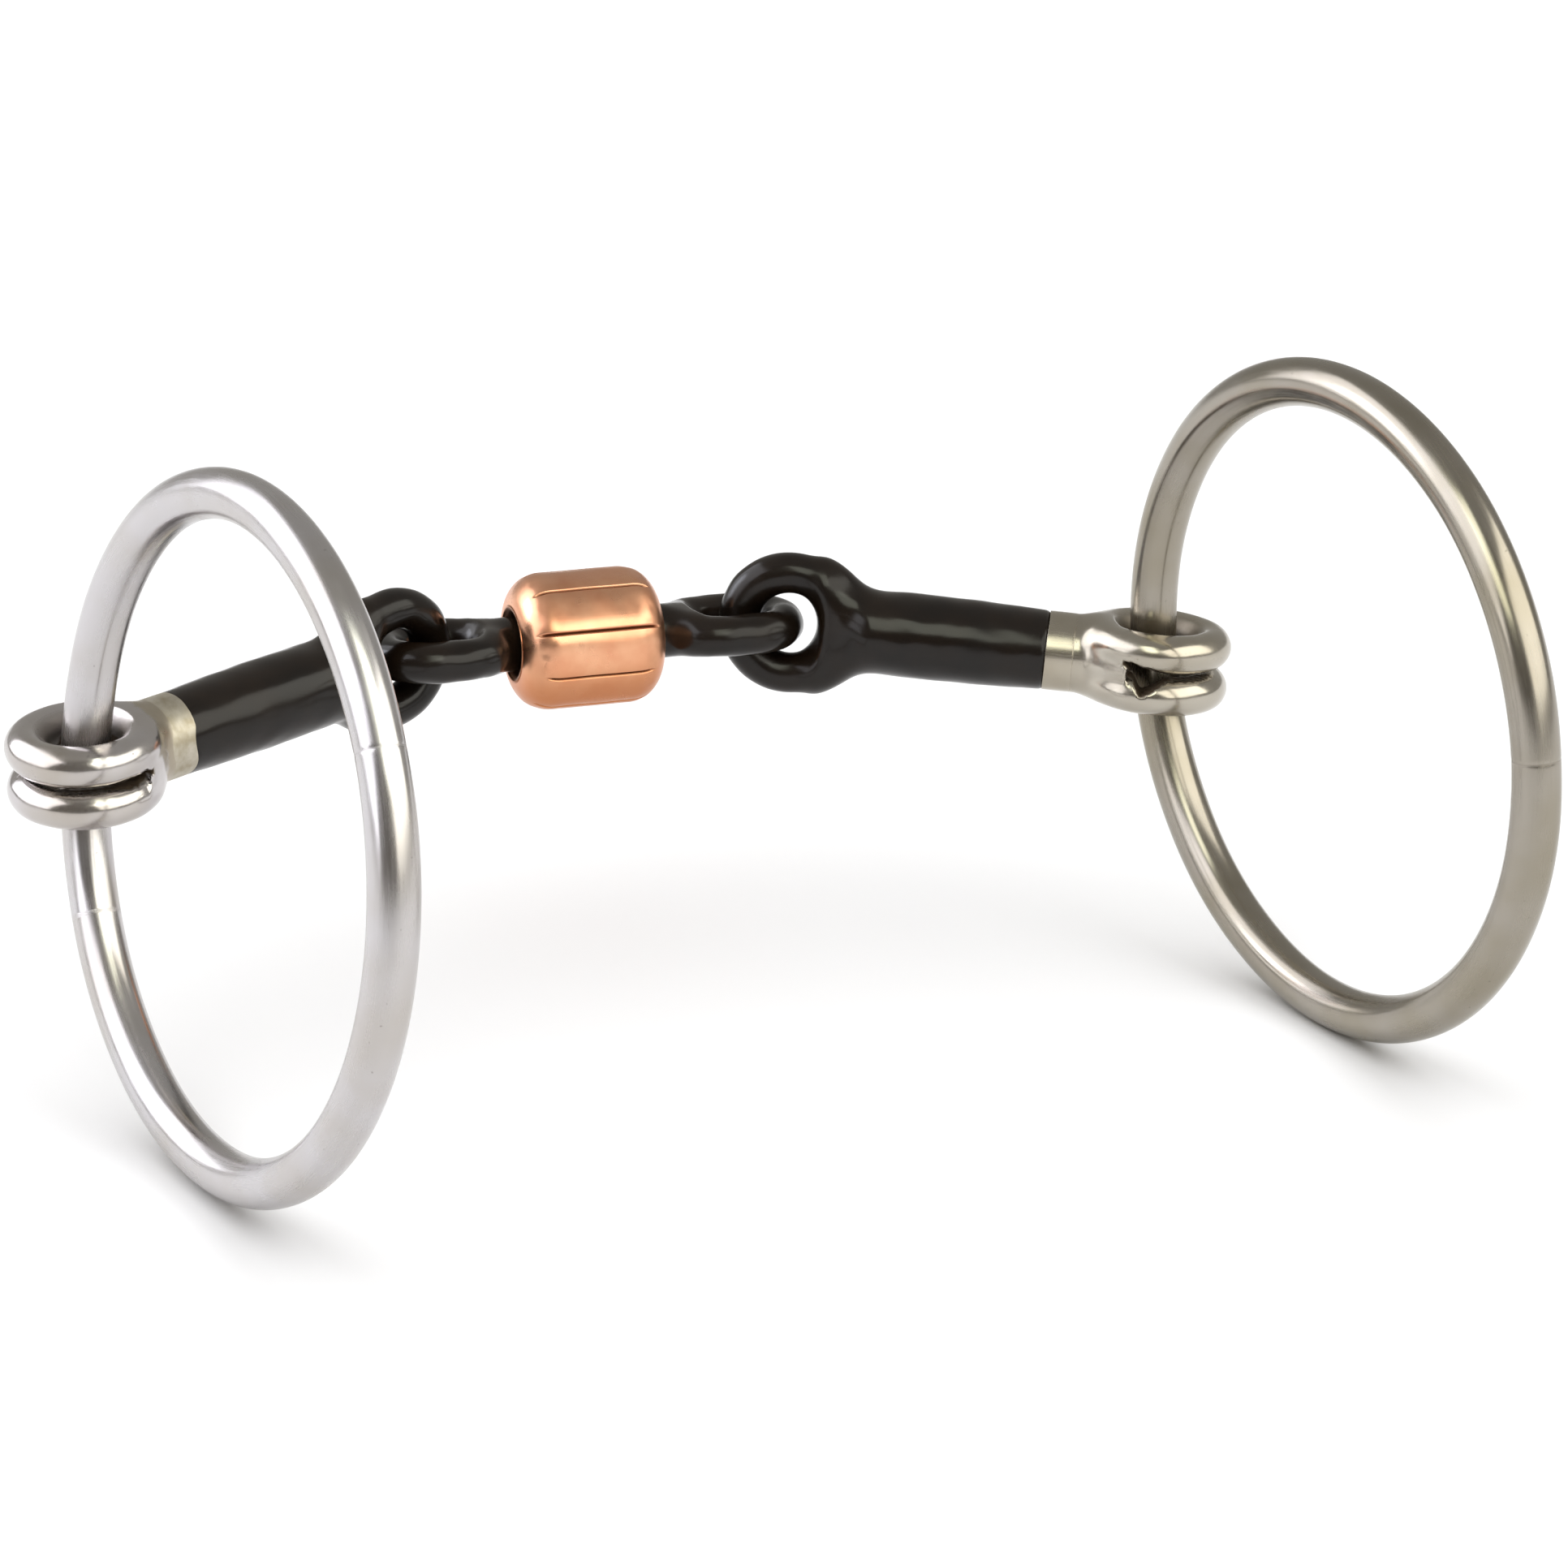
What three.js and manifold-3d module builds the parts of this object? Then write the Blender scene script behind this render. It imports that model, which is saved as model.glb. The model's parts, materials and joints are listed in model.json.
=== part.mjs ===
// Loose-ring snaffle bit: two steel rings, two black cannons with steel end fittings, and a
// centre link that carries a copper roller.
// Frame: millimetres, +Z up, X along the link from the left ring to the right one, +Y towards the
// back. The origin is the middle of the centre link.
import * as THREE from "three";
import { mergeVertices } from "three/addons/utils/BufferGeometryUtils.js";
import Module from "manifold-3d";

const wasm = await Module();
wasm.setup();

// ---- Driving dimensions (millimetres) ----

const RING_OUTER_DIAMETER = 76.2; // a 3 inch ring
const RING_WIRE = 5.6; // 7/32 inch round wire
const MOUTH = 128; // a 5 inch mouthpiece, pulled straight, between the insides of the rings

const LOOP_WIRE = 4.5; // each of the two loops that hold a ring
const LOOP_PLAY = 1.3; // between ring wire and loop, each side
const LOOP_SLOT = 0.35; // between the two loops
const LOOP_OVERLAP = 0.4; // how far the stem reaches into the loops' wire
const SLOT_ROOT = 5.2; // from the middle of the loops to the root of the slot, towards the cannon
const STEM_FLARE = 3; // the higher, the later the stem widens into the loops

const CANNON_END_DIAMETER = 8.6; // where the end fitting is welded on
const CANNON_BODY_DIAMETER = 9.8; // at its fullest
const CANNON_NECK_DIAMETER = 9.3; // behind the eye
const CANNON_EYE_WIRE = 4.7;
const CANNON_EYE_HOLE = 7.3;
const EYE_CLEARANCE = 0.5; // left over the link's wire where it hangs low in the cannon's eye
const EYE_CHEEK = 1.2; // height of the flat neck where it leaves the eye, as a share of its end's

const LINK_WIRE = 4.7;
const LINK_EYE_PLAY = 0.45; // between the link's eye and the cannon's eye that turns in it
const LINK_EYE_STRETCH = 2.3; // straight stretch in each long side of the eye
const ROLLER_TO_EYE = 10; // from the roller's end to the point where a cannon turns
const SHANK_DIAMETER = 6.2;
const SHANK_FLARE = 6; // the higher, the later the shank widens into the eyes

const ROLLER_DIAMETER = 15.9;
const ROLLER_LENGTH = 17;
const ROLLER_PLAY = 0.6; // between the roller's bore and the shank
const ROLLER_SHOULDER = 3.6; // rounding of each end
const ROLLER_MOUTH_ROUNDING = 0.5;
const ROLLER_SHIFT = -0.4; // along the shank
const GROOVE_COUNT = 9;
const GROOVE_WIDTH = 0.5;
const GROOVE_DEPTH = 0.35;

const WELD_WIDTH = 2.3;
const WELD_CROWN = 0.1; // how far the bead stands proud of the cannon's end
const WELD_DISTANCE = 12.5; // from the ring's wire to the black end of the cannon
const SEAM = 0.3; // gap between two pieces that meet
const SHOULDER_SHARE = 0.2; // of a wire's diameter, by which a stem spreads past the wire's middle
const WELDED = 1e-4; // points closer than this are one point

// ---- How the bit lies at rest (degrees) ----

const LINK_TILT = 1.5; // right end lower
const LINK_ROLL = -5; // about the link's own axis
const POSE = {
  left: { sweep: 24.2, pitch: 2, roll: -2, swing: 76.9, slide: 5.6, lean: -7 },
  right: { sweep: 24.4, pitch: 4.5, roll: -6, swing: 78.7, slide: 10.2, lean: 0 },
};

// ---- Worked out from the above ----

const RING_RADIUS = (RING_OUTER_DIAMETER - RING_WIRE) / 2;
const LOOP_RADIUS = RING_WIRE / 2 + LOOP_PLAY + LOOP_WIRE / 2;
const LOOP_RISE = (LOOP_WIRE + LOOP_SLOT) / 2;
const CANNON_EYE_RADIUS = (CANNON_EYE_HOLE + CANNON_EYE_WIRE) / 2;
const CANNON_LIFT = (CANNON_EYE_HOLE - LINK_WIRE) / 2 - EYE_CLEARANCE;
const LINK_EYE_RADIUS = CANNON_EYE_WIRE / 2 + LINK_EYE_PLAY + LINK_WIRE / 2;
const LINK_REACH = ROLLER_LENGTH / 2 + ROLLER_TO_EYE; // from its middle to where a cannon turns
const CANNON_REACH = (MOUTH + RING_WIRE) / 2 - LINK_REACH; // from its turning point to the ring
const CANNON_END = CANNON_REACH - WELD_DISTANCE;
const WELD_START = CANNON_END + SEAM;
const FITTING_START = WELD_START + WELD_WIDTH + SEAM;

// ---- Facets ----

const WIRE_SIDES = 10;
const RING_STEPS = 60;
const EYE_STEPS = 26; // never a multiple of four, so that no corner lies on the eye's middle line
const BAR_SIDES = 24;
const BAR_STEPS = 5;
const CORNER_STEPS = 4; // along each rounded corner of the roller's outline

const STEEL = new THREE.MeshStandardMaterial({ color: "#b9b6b0", roughness: 0.28, metalness: 1 });
const WELD_METAL = new THREE.MeshStandardMaterial({ color: "#a39d92", roughness: 0.55, metalness: 1 });
const BLACK_IRON = new THREE.MeshStandardMaterial({ color: "#26221f", roughness: 0.3, metalness: 0.6 });
const COPPER = new THREE.MeshStandardMaterial({ color: "#c98a66", roughness: 0.3, metalness: 1 });

const radians = THREE.MathUtils.degToRad;

// ---- Joining and cutting ----

function solid(geometry) {
  const bare = geometry.clone();
  bare.deleteAttribute("normal");
  bare.deleteAttribute("uv");
  const merged = mergeVertices(bare, WELDED);
  const mesh = new wasm.Mesh({
    numProp: 3,
    vertProperties: new Float32Array(merged.attributes.position.array),
    triVerts: new Uint32Array(merged.index.array),
  });
  return new wasm.Manifold(mesh);
}

function union(...geometries) {
  return geometries.map(solid).reduce((whole, piece) => whole.add(piece));
}

function geometryOf(manifold) {
  const { vertProperties, triVerts } = manifold.getMesh();
  const geometry = new THREE.BufferGeometry();
  geometry.setAttribute("position", new THREE.BufferAttribute(vertProperties, 3));
  geometry.setIndex(new THREE.BufferAttribute(triVerts, 1));
  geometry.computeVertexNormals();
  return geometry;
}

// ---- Shapes ----

// A loop of round wire in the XY plane, with a straight stretch along X in each side.
function wireLoop(radius, wire, stretch, steps) {
  const loop = new THREE.TorusGeometry(radius, wire / 2, WIRE_SIDES, steps);
  const points = loop.attributes.position;
  for (let i = 0; i < points.count; i++) {
    points.setX(i, points.getX(i) + (Math.sign(points.getX(i)) * stretch) / 2);
  }
  return loop;
}

// A bar along X from start to end; size(t) gives its half width and half height, t from 0 to 1.
function bar(start, end, size) {
  const geometry = new THREE.CylinderGeometry(1, 1, end - start, BAR_SIDES, BAR_STEPS);
  geometry.rotateZ(-Math.PI / 2).translate((start + end) / 2, 0, 0);
  const points = geometry.attributes.position;
  for (let i = 0; i < points.count; i++) {
    const [width, height] = size((points.getX(i) - start) / (end - start));
    points.setY(i, points.getY(i) * width);
    points.setZ(i, points.getZ(i) * height);
  }
  return geometry;
}

function mix(from, to, t) {
  return from + (to - from) * t;
}

// ---- Pieces, each along its own X axis ----

// The ring stands in the XZ plane with the wire that its loops hold at the origin.
function ringGeometry() {
  const ring = new THREE.TorusGeometry(RING_RADIUS, RING_WIRE / 2, WIRE_SIDES, RING_STEPS);
  return ring.rotateX(Math.PI / 2).translate(RING_RADIUS, 0, 0);
}

// Two stacked loops round the ring's wire, and a flared stem from them to the weld.
function fittingGeometry() {
  const loops = [LOOP_RISE, -LOOP_RISE].map((rise) =>
    wireLoop(LOOP_RADIUS, LOOP_WIRE, 0, EYE_STEPS).translate(CANNON_REACH, 0, rise),
  );
  const stemEnd = CANNON_REACH - RING_WIRE / 2 - LOOP_PLAY - LOOP_OVERLAP;
  const endRadius = CANNON_END_DIAMETER / 2;
  const stem = bar(FITTING_START, stemEnd, (t) => [
    mix(endRadius, LOOP_RADIUS + LOOP_WIRE * SHOULDER_SHARE, t ** STEM_FLARE),
    mix(endRadius, LOOP_RISE + LOOP_WIRE / 2, t ** STEM_FLARE),
  ]);
  const slotLength = SLOT_ROOT + 2 * LOOP_RADIUS;
  const slot = new THREE.BoxGeometry(slotLength, 4 * LOOP_RADIUS, LOOP_SLOT);
  slot.translate(CANNON_REACH - SLOT_ROOT + slotLength / 2, 0, 0);
  return geometryOf(union(...loops, stem).subtract(solid(slot)));
}

// The bead that joins the stainless fitting to the black cannon.
function weldGeometry() {
  const radius = CANNON_END_DIAMETER / 2;
  return bar(WELD_START, WELD_START + WELD_WIDTH, (t) => {
    const crown = radius + WELD_CROWN * Math.sin(Math.PI * t);
    return [crown, crown];
  });
}

// A full-bodied bar that narrows to a flat upright eye round the turning point.
function cannonGeometry() {
  const eye = wireLoop(CANNON_EYE_RADIUS, CANNON_EYE_WIRE, 0, EYE_STEPS);
  eye.rotateX(Math.PI / 2).translate(CANNON_EYE_RADIUS, 0, 0);
  const holeEnd = CANNON_EYE_WIRE / 2 + CANNON_EYE_HOLE;
  const neckStart = holeEnd + CANNON_EYE_WIRE / 3;
  const neckEnd = neckStart + CANNON_NECK_DIAMETER / 2;
  const neckRadius = CANNON_NECK_DIAMETER / 2;
  const neck = bar(neckStart, neckEnd, (t) => [
    mix(CANNON_EYE_WIRE / 2, neckRadius, t * (2 - t)),
    mix(neckRadius * EYE_CHEEK, neckRadius, t * (2 - t)),
  ]);
  const endRadius = CANNON_END_DIAMETER / 2;
  const fullness = CANNON_BODY_DIAMETER / 2 - (neckRadius + endRadius) / 2;
  const body = bar(neckEnd - SEAM, CANNON_END, (t) => {
    const radius = mix(neckRadius, endRadius, t) + fullness * Math.sin(Math.PI * t);
    return [radius, radius];
  });
  return geometryOf(union(eye, neck, body));
}

// A round shank with a long flat-lying eye at each end.
function linkGeometry() {
  const eyeMiddle = LINK_REACH - LINK_EYE_STRETCH / 2;
  const eyes = [eyeMiddle, -eyeMiddle].map((x) =>
    wireLoop(LINK_EYE_RADIUS, LINK_WIRE, LINK_EYE_STRETCH, EYE_STEPS).translate(x, 0, 0),
  );
  const holeStart = LINK_REACH - LINK_EYE_STRETCH - LINK_EYE_RADIUS + LINK_WIRE / 2;
  const shankEnd = holeStart - SEAM;
  const shank = bar(-shankEnd, shankEnd, (t) => {
    const outwards = Math.abs(2 * t - 1) ** SHANK_FLARE;
    return [
      mix(SHANK_DIAMETER / 2, SHANK_DIAMETER / 2 + LINK_WIRE * SHOULDER_SHARE, outwards),
      mix(SHANK_DIAMETER / 2, LINK_WIRE / 2, outwards),
    ];
  });
  return geometryOf(union(...eyes, shank));
}

// A thick copper tube with rounded ends, rounded bore mouths and grooves along its length.
function rollerGeometry() {
  const outer = ROLLER_DIAMETER / 2;
  const bore = SHANK_DIAMETER / 2 + ROLLER_PLAY;
  const half = ROLLER_LENGTH / 2;
  const outline = new THREE.Path();
  outline.moveTo(bore, -half + ROLLER_MOUTH_ROUNDING);
  outline.lineTo(bore + ROLLER_MOUTH_ROUNDING, -half);
  outline.lineTo(outer - ROLLER_SHOULDER, -half);
  outline.absarc(outer - ROLLER_SHOULDER, -half + ROLLER_SHOULDER, ROLLER_SHOULDER, -Math.PI / 2, 0);
  outline.absarc(outer - ROLLER_SHOULDER, half - ROLLER_SHOULDER, ROLLER_SHOULDER, 0, Math.PI / 2);
  outline.lineTo(bore + ROLLER_MOUTH_ROUNDING, half);
  outline.lineTo(bore, half - ROLLER_MOUTH_ROUNDING);
  outline.closePath();
  const tube = new THREE.LatheGeometry(outline.getPoints(CORNER_STEPS), BAR_SIDES + GROOVE_COUNT / 3);
  tube.rotateZ(-Math.PI / 2);
  let roller = solid(tube);
  const grooveLength = ROLLER_LENGTH - 2 * ROLLER_SHOULDER;
  for (let i = 0; i < GROOVE_COUNT; i++) {
    const groove = new THREE.BoxGeometry(grooveLength, GROOVE_WIDTH, 2 * GROOVE_DEPTH);
    groove.translate(0, 0, outer);
    groove.rotateX((2 * Math.PI * i) / GROOVE_COUNT);
    roller = roller.subtract(solid(groove));
  }
  return geometryOf(roller);
}

// ---- The bit at rest ----

function piece(name, geometry, material) {
  const mesh = new THREE.Mesh(geometry, material);
  mesh.name = name;
  return mesh;
}

// The link and its roller share one axis, tilted and rolled as a whole.
function middle() {
  const group = new THREE.Group();
  group.rotation.set(radians(LINK_ROLL), radians(LINK_TILT), 0, "ZYX");
  group.add(piece("center_link", linkGeometry(), BLACK_IRON));
  const roller = piece("copper_roller", rollerGeometry(), COPPER);
  roller.position.x = ROLLER_SHIFT;
  group.add(roller);
  return group;
}

// One cannon with its weld and end fitting, from its turning point at the end of the link.
function cannonSide(side, outwards) {
  const { sweep, pitch, roll } = POSE[side];
  const group = new THREE.Group();
  group.position.copy(turningPoint(outwards));
  const heading = outwards > 0 ? -sweep : 180 + sweep;
  group.rotation.set(radians(roll), radians(pitch), radians(heading), "ZYX");
  group.add(piece(`${side}_cannon`, cannonGeometry(), BLACK_IRON));
  group.add(piece(`${side}_weld`, weldGeometry(), WELD_METAL));
  group.add(piece(`${side}_end_fitting`, fittingGeometry(), STEEL));
  return group;
}

function turningPoint(outwards) {
  const point = new THREE.Vector3(outwards * LINK_REACH, 0, 0);
  point.applyEuler(new THREE.Euler(0, radians(LINK_TILT), 0));
  point.z += CANNON_LIFT;
  return point;
}

function ringPoint(side, outwards) {
  const { sweep, pitch } = POSE[side];
  const reach = new THREE.Vector3(CANNON_REACH, 0, 0);
  const heading = outwards > 0 ? -sweep : 180 + sweep;
  reach.applyEuler(new THREE.Euler(0, radians(pitch), radians(heading), "ZYX"));
  return reach.add(turningPoint(outwards));
}

// A ring hangs in its loops: swung round the upright through them, slid round its own circle
// and leaning a little in their play.
function ringSide(side, outwards) {
  const { swing, slide, lean } = POSE[side];
  const group = new THREE.Group();
  group.position.copy(ringPoint(side, outwards));
  group.rotation.set(radians(lean), radians(-slide), radians(-swing), "ZYX");
  group.add(piece(`${side}_ring`, ringGeometry(), STEEL));
  return group;
}

const bit = new THREE.Group();
bit.add(middle());
bit.add(cannonSide("left", -1));
bit.add(cannonSide("right", 1));
bit.add(ringSide("left", -1));
bit.add(ringSide("right", 1));

export default bit;
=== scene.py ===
# %% [markdown]
# A loose-ring snaffle bit, made for the eye
#
# A snaffle bit is the metal mouthpiece of a bridle. Two round rings of polished stainless wire
# carry the reins. Between them hang two black iron bars, called cannons, and in the middle a
# short link carries a roller of solid copper for the horse to play with.
#
# The engineering model is already there: its joints, its sizes and how it lies at rest. This
# script reads all of that and gives every solid a finer skin, so nothing here is placed by eye.

import json

import bpy
import numpy as np
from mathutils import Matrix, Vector


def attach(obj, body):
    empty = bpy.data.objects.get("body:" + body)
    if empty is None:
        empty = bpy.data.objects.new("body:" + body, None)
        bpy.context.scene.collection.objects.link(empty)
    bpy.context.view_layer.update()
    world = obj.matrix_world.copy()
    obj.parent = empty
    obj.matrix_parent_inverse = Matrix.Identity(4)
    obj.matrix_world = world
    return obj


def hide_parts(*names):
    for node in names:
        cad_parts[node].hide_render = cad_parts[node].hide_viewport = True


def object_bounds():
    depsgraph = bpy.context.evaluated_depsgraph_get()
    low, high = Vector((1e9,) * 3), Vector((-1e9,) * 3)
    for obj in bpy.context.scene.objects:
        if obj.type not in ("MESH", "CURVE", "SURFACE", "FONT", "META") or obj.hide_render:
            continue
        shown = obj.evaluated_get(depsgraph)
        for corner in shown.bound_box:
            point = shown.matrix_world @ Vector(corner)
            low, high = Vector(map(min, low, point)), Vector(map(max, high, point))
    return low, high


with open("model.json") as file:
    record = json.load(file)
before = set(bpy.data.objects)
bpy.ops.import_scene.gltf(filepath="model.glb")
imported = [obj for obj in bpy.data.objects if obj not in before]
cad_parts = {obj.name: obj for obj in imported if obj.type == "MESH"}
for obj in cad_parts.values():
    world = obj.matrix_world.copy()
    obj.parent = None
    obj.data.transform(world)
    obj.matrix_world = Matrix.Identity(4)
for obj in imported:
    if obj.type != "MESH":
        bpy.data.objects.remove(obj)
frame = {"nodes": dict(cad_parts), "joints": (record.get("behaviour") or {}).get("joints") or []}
cad_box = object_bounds()

# %% [markdown]
# Working in millimetres
#
# A bit is small enough that millimetres read best, while Blender keeps metres. So every size
# below is in millimetres, and one number turns a finished mesh into metres.
#
# The joints say where each piece turns. A cannon runs from the joint at its eye to the joint at
# its ring, so these two points give its direction and its length.

# %% Where the joints are
MM = 0.001
joint_at = {joint["name"]: np.array(joint["pos_m"]) / MM for joint in frame["joints"]}
joint_axis = {joint["name"]: np.array(joint["axis"]) for joint in frame["joints"]}
SIDES = ("left", "right")
print("joints:", {name: place.round(1).tolist() for name, place in joint_at.items()})


# %% [markdown]
# A piece's own axes
#
# Each piece is easiest to describe lying straight: X along it, its flat eye or ring in the XY
# plane, and Z through the flat. The flat direction is the one in which the points of the CAD
# solid spread least, which a singular value decomposition finds in one line.

# %% Own axes, and the size of a CAD solid along them
def unit(vector):
    return vector / np.linalg.norm(vector)


def solid_points(name):
    """All the points of a CAD node, in millimetres, one row each."""
    mesh = frame["nodes"][name].data
    flat = np.zeros(3 * len(mesh.vertices))
    mesh.vertices.foreach_get("co", flat)
    return flat.reshape(-1, 3) / MM


def own_axes(name, along):
    """Three rows: X is along, Z is the direction across it of least spread, Y completes them.

    Whichever of Y and Z is nearer to upright points up.
    """
    points = solid_points(name)
    x = unit(along)
    across = points - points.mean(axis=0)
    across = across - np.outer(across @ x, x)
    spread = np.linalg.svd(across, full_matrices=False)[2]
    z = unit(spread[1] - (spread[1] @ x) * x)
    upright = max(z[2], np.cross(z, x)[2], key=abs)
    z = z * np.sign(upright)
    return np.array([x, np.cross(z, x), z])


def own_span(name, origin, axes):
    """Lowest and highest own coordinates of a CAD node."""
    local = (solid_points(name) - origin) @ axes.T
    return local.min(axis=0), local.max(axis=0)


# %% [markdown]
# From a grid of numbers to a mesh
#
# Every surface in this script ends as two arrays, points and faces. One function puts them into
# Blender. It also keeps three facts on each point that the materials need: where the point lies
# on its own piece; how dark it is made (soot), which is the dark skin of the welding in a ring's
# weld hairline and painted shade in the fittings' pits, crotches and loops and in the roller's
# grooves and bore; and how far it is still dull from the grinder (ground), which on the roller
# is instead its painted darker underside.

# %% Put points and faces into a mesh
def make_piece(name, points, faces, own, body, node, material, soot_and_shade=0.0, ground_and_shade=0.0):
    """A mesh object in place, riding on a body, standing for a CAD node, with a finish."""
    mesh = bpy.data.meshes.new(name)
    mesh.from_pydata((points * MM).tolist(), [], faces.tolist())
    mesh.polygons.foreach_set("use_smooth", np.ones(len(faces), dtype=bool))
    place = mesh.attributes.new("own", "FLOAT_VECTOR", "POINT")
    place.data.foreach_set("vector", own.astype(np.float32).ravel())
    for fact, amount in (("soot_and_shade", soot_and_shade), ("ground_and_shade", ground_and_shade)):
        values = np.broadcast_to(np.float32(amount), len(points))
        mesh.attributes.new(fact, "FLOAT", "POINT").data.foreach_set("value", values)
    mesh.materials.append(material)
    mesh.validate()
    mesh.update()
    piece = bpy.data.objects.new(name, mesh)
    bpy.context.scene.collection.objects.link(piece)
    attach(piece, body)
    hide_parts(node)
    print(f"{name}: {len(points)} points, {2 * len(faces)} triangles")


def wrapped_grid(rows, columns):
    """Quads of a grid that closes on itself both ways, point (i, j) being number i*columns + j."""
    i, j = np.meshgrid(np.arange(rows), np.arange(columns), indexing="ij")
    after_i, after_j = (i + 1) % rows, (j + 1) % columns
    quads = [i * columns + j, after_i * columns + j, after_i * columns + after_j, i * columns + after_j]
    return np.stack(quads, axis=-1).reshape(-1, 4)


# %% [markdown]
# Colours and nodes
#
# Colours are written as they look on a screen, in sRGB, and one function turns them into the
# linear light that the renderer works in. A second small function adds one shader node: a value
# sets a socket, and another node's output is joined to it.

# %% Helpers for materials
def linear(hex_colour):
    """sRGB hex to linear: c/12.92 below 0.04045, else ((c + 0.055)/1.055)^2.4."""
    srgb = np.array([int(hex_colour[i : i + 2], 16) for i in (1, 3, 5)]) / 255
    light = np.where(srgb <= 0.04045, srgb / 12.92, ((srgb + 0.055) / 1.055) ** 2.4)
    return (*light.tolist(), 1.0)


def add(tree, kind, sockets=None, **settings):
    """Adds one node. Each socket gets a value or a link from another node's output."""
    node = tree.nodes.new(kind)
    for key, value in settings.items():
        setattr(node, key, value)
    for key, value in (sockets or {}).items():
        if isinstance(value, bpy.types.NodeSocket):
            tree.links.new(value, node.inputs[key])
        else:
            node.inputs[key].default_value = value
    return node


def new_material(name):
    """An empty material, and the facts that each point carries: own, soot with painted shade, and
    grinder dullness with painted shade.
    """
    material = bpy.data.materials.new(name)
    material.use_nodes = True
    tree = material.node_tree
    tree.nodes.clear()
    own = add(tree, "ShaderNodeAttribute", attribute_name="own").outputs["Vector"]
    soot_and_shade = add(tree, "ShaderNodeAttribute", attribute_name="soot_and_shade").outputs["Fac"]
    ground_and_shade = add(tree, "ShaderNodeAttribute", attribute_name="ground_and_shade").outputs["Fac"]
    return material, tree, own, soot_and_shade, ground_and_shade


def finish_with(tree, shader):
    add(tree, "ShaderNodeOutputMaterial", {"Surface": shader.outputs["BSDF"]})


def patches(tree, own, size, detail=2.0, stretch=(1, 1, 1)):
    """Soft noise whose patches are about size millimetres, drawn out by stretch."""
    scale = [1 / s for s in stretch]
    place = add(tree, "ShaderNodeMapping", {"Vector": own, "Scale": scale})
    noise = {"Vector": place.outputs["Vector"], "Scale": 1 / size, "Detail": detail}
    return add(tree, "ShaderNodeTexNoise", noise).outputs["Fac"]


def between(tree, amount, low, high, low_out, high_out):
    """Maps amount from low..high to low_out..high_out, held at both ends."""
    sockets = {
        "Value": amount,
        "From Min": low,
        "From Max": high,
        "To Min": low_out,
        "To Max": high_out,
    }
    return add(tree, "ShaderNodeMapRange", sockets).outputs["Result"]


def blend_colours(tree, amount, first, second):
    """Mixes two colours, each a hex value or a node's output."""
    mix = add(tree, "ShaderNodeMix", data_type="RGBA")
    for socket, colour in ((mix.inputs[6], first), (mix.inputs[7], second)):
        if isinstance(colour, str):
            socket.default_value = linear(colour)
        else:
            tree.links.new(colour, socket)
    tree.links.new(amount, mix.inputs[0])
    return mix.outputs[2]


# %% [markdown]
# Polished stainless steel
#
# The rings and end fittings are stainless steel, ground and then buffed by hand on a cloth wheel.
# Buffing leaves hair-fine lines along the wire, patches that are a little duller, a faint warm
# tint where the metal ran hot, and now and then a small pit. In a ring's weld hairline the dark
# skin of the welding stays; on the fittings the same dark colour is painted shade in the pit, the
# crotch and inside the loops. The lines are really some 0.02 mm apart: they are drawn about ten
# times as coarse so that they show.

# %% Polished stainless steel
PIT_BROWN = "#5A544B"
GRINDER_DULL = "#ACA394"
WELD_SKIN_AND_SHADE = "#594D40"


def polished_stainless(name, clean, warm, rough_range):
    material, tree, own, soot_and_shade, ground_and_shade = new_material(name)
    tint = between(tree, patches(tree, own, 11, 3), 0.4, 0.68, 0, 1)
    colour = blend_colours(tree, tint, clean, warm)
    dots = patches(tree, own, 0.5, 1)
    pits = between(tree, dots, 0.75, 0.82, 0, 0.4)
    colour = blend_colours(tree, pits, colour, PIT_BROWN)
    cloud = patches(tree, own, 1.6, 4)
    edge = add(tree, "ShaderNodeMath", {0: cloud, 1: ground_and_shade}, operation="ADD").outputs[0]
    dull = between(tree, edge, 0.85, 1.15, 0, 1)
    colour = blend_colours(tree, dull, colour, GRINDER_DULL)
    # Painted shade: the soot fact blackens the fittings' pit, crotch and loop insides; at a ring's weld
    # it is the real dark hairline.
    soot_and_shade_amount = between(tree, soot_and_shade, 0.15, 0.85, 0, 1)
    colour = blend_colours(tree, soot_and_shade_amount, colour, WELD_SKIN_AND_SHADE)
    lines = patches(tree, own, 0.22, 3, stretch=(30, 1, 1))
    smears = patches(tree, own, 3.5, 3, stretch=(3, 1, 1))
    rough = between(tree, smears, 0.35, 0.7, *rough_range)
    for extra in (
        between(tree, lines, 0.4, 0.65, 0, 0.05),
        between(tree, dull, 0, 1, 0, 0.2),
        between(tree, soot_and_shade_amount, 0, 1, 0, 0.6),
    ):
        rough = add(tree, "ShaderNodeMath", {0: rough, 1: extra}, operation="ADD").outputs[0]
    relief = {"Height": lines, "Strength": 0.06, "Distance": 0.02 * MM}
    bump = add(tree, "ShaderNodeBump", relief)
    waves = patches(tree, own, 3, 1, stretch=(2, 1, 1))
    buffed = {"Height": waves, "Strength": 0.3, "Distance": 0.04 * MM, "Normal": bump.outputs[0]}
    bump = add(tree, "ShaderNodeBump", buffed)
    sockets = {
        "Base Color": colour,
        "Metallic": 1.0,
        "Roughness": rough,
        "Normal": bump.outputs[0],
    }
    finish_with(tree, add(tree, "ShaderNodeBsdfPrincipled", sockets))
    return material


# The right-hand copies are darker and browner than the left: painted shade, for the darker surroundings
# the right side reflects.
wire_steel = {
    "left": polished_stainless("polished_stainless_bright", "#C0BDBE", "#B7B2AE", (0.19, 0.3)),
    "right": polished_stainless("polished_stainless_shaded", "#9C968C", "#918A7B", (0.17, 0.28)),
}
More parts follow.
